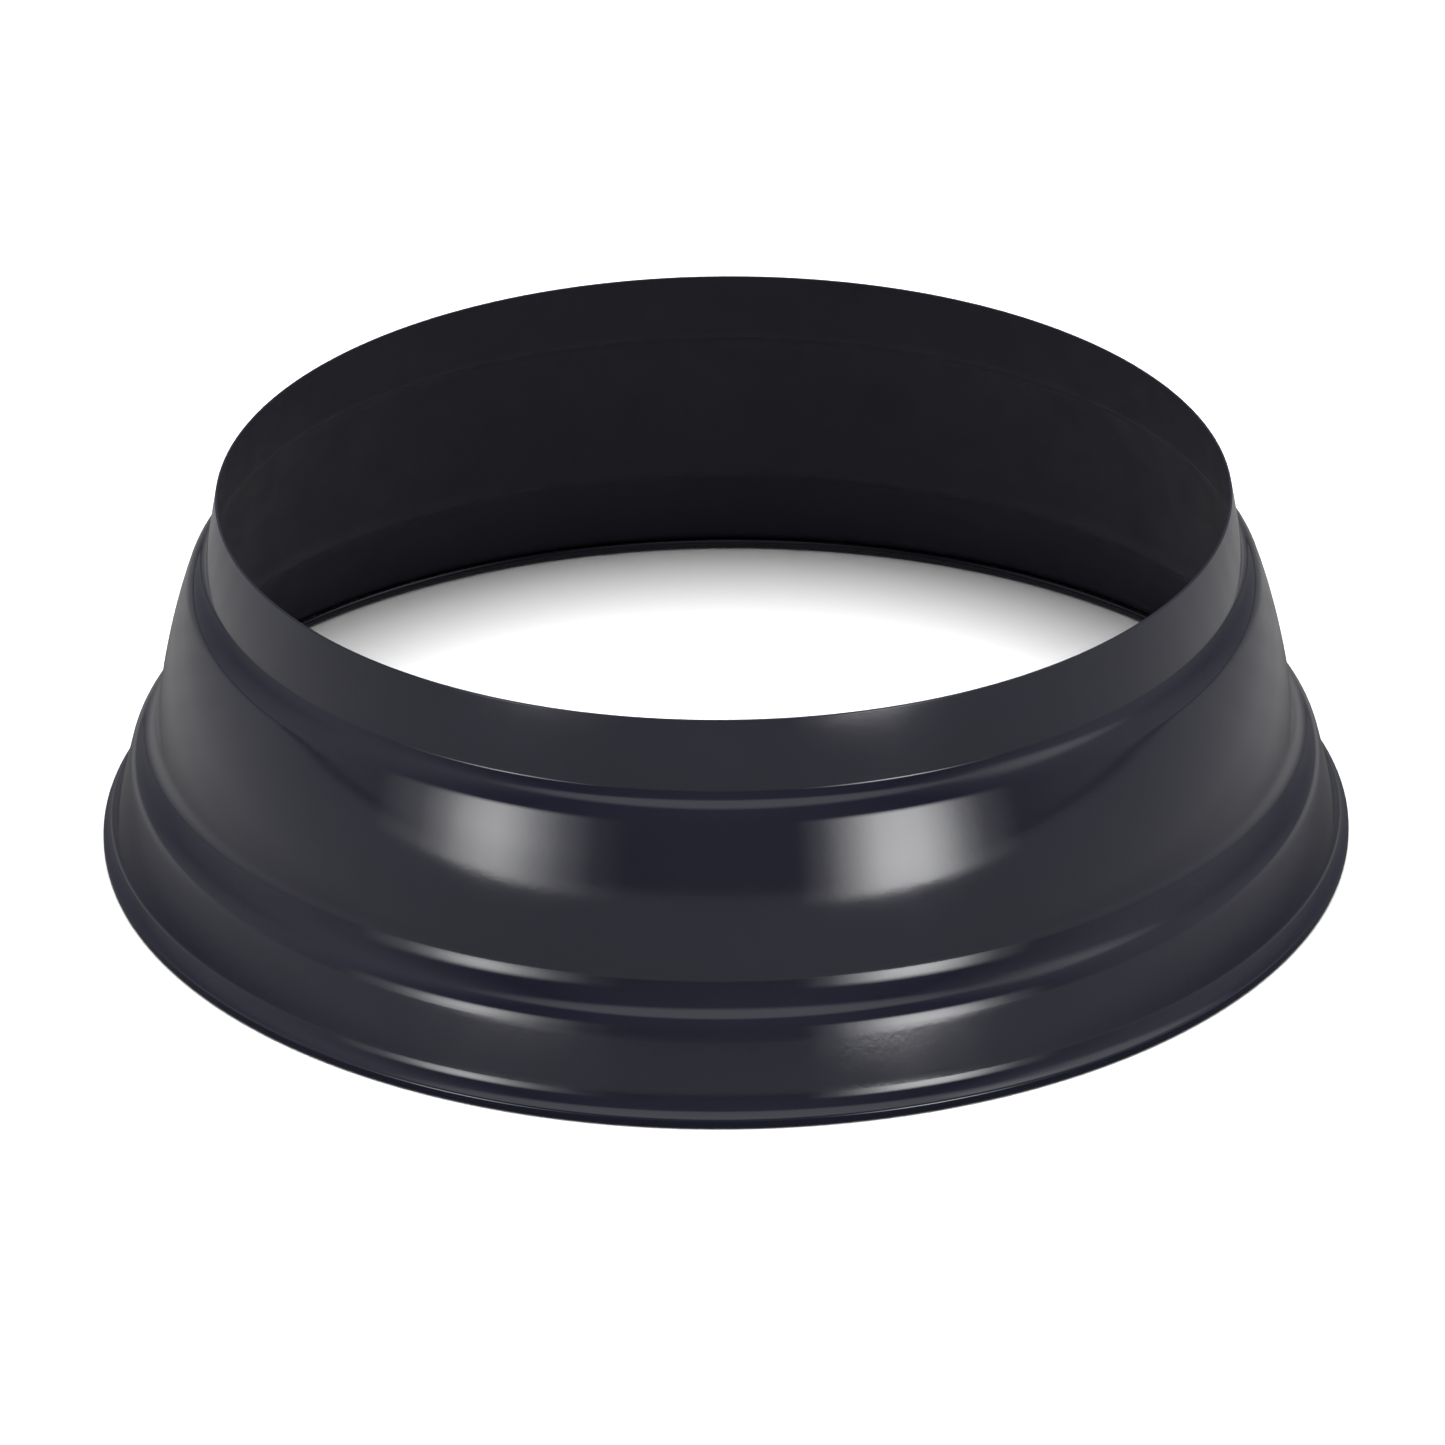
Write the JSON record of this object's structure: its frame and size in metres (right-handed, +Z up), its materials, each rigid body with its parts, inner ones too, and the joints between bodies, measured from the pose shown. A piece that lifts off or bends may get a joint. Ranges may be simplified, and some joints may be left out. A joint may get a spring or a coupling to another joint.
{
  "type": "stepped skirt ring",
  "caption": "Open flared skirt ring of thin painted steel that steps out in bands from its top rim to a wired, hemmed foot.",
  "frame": {"origin": "on the ring's axis, at the level of the face that it stands on", "axes": "+Z up along the ring's axis, from the wide foot to the narrow top rim"},
  "size_m": [0.2186, 0.2186, 0.0648],
  "materials": {
    "paint": "satin anthracite paint",
    "wire": "bare drawn wire"
  },
  "bodies": {
    "root": {"stepped_shell": "paint", "edge_wire": "wire"}
  },
  "joints": []
}
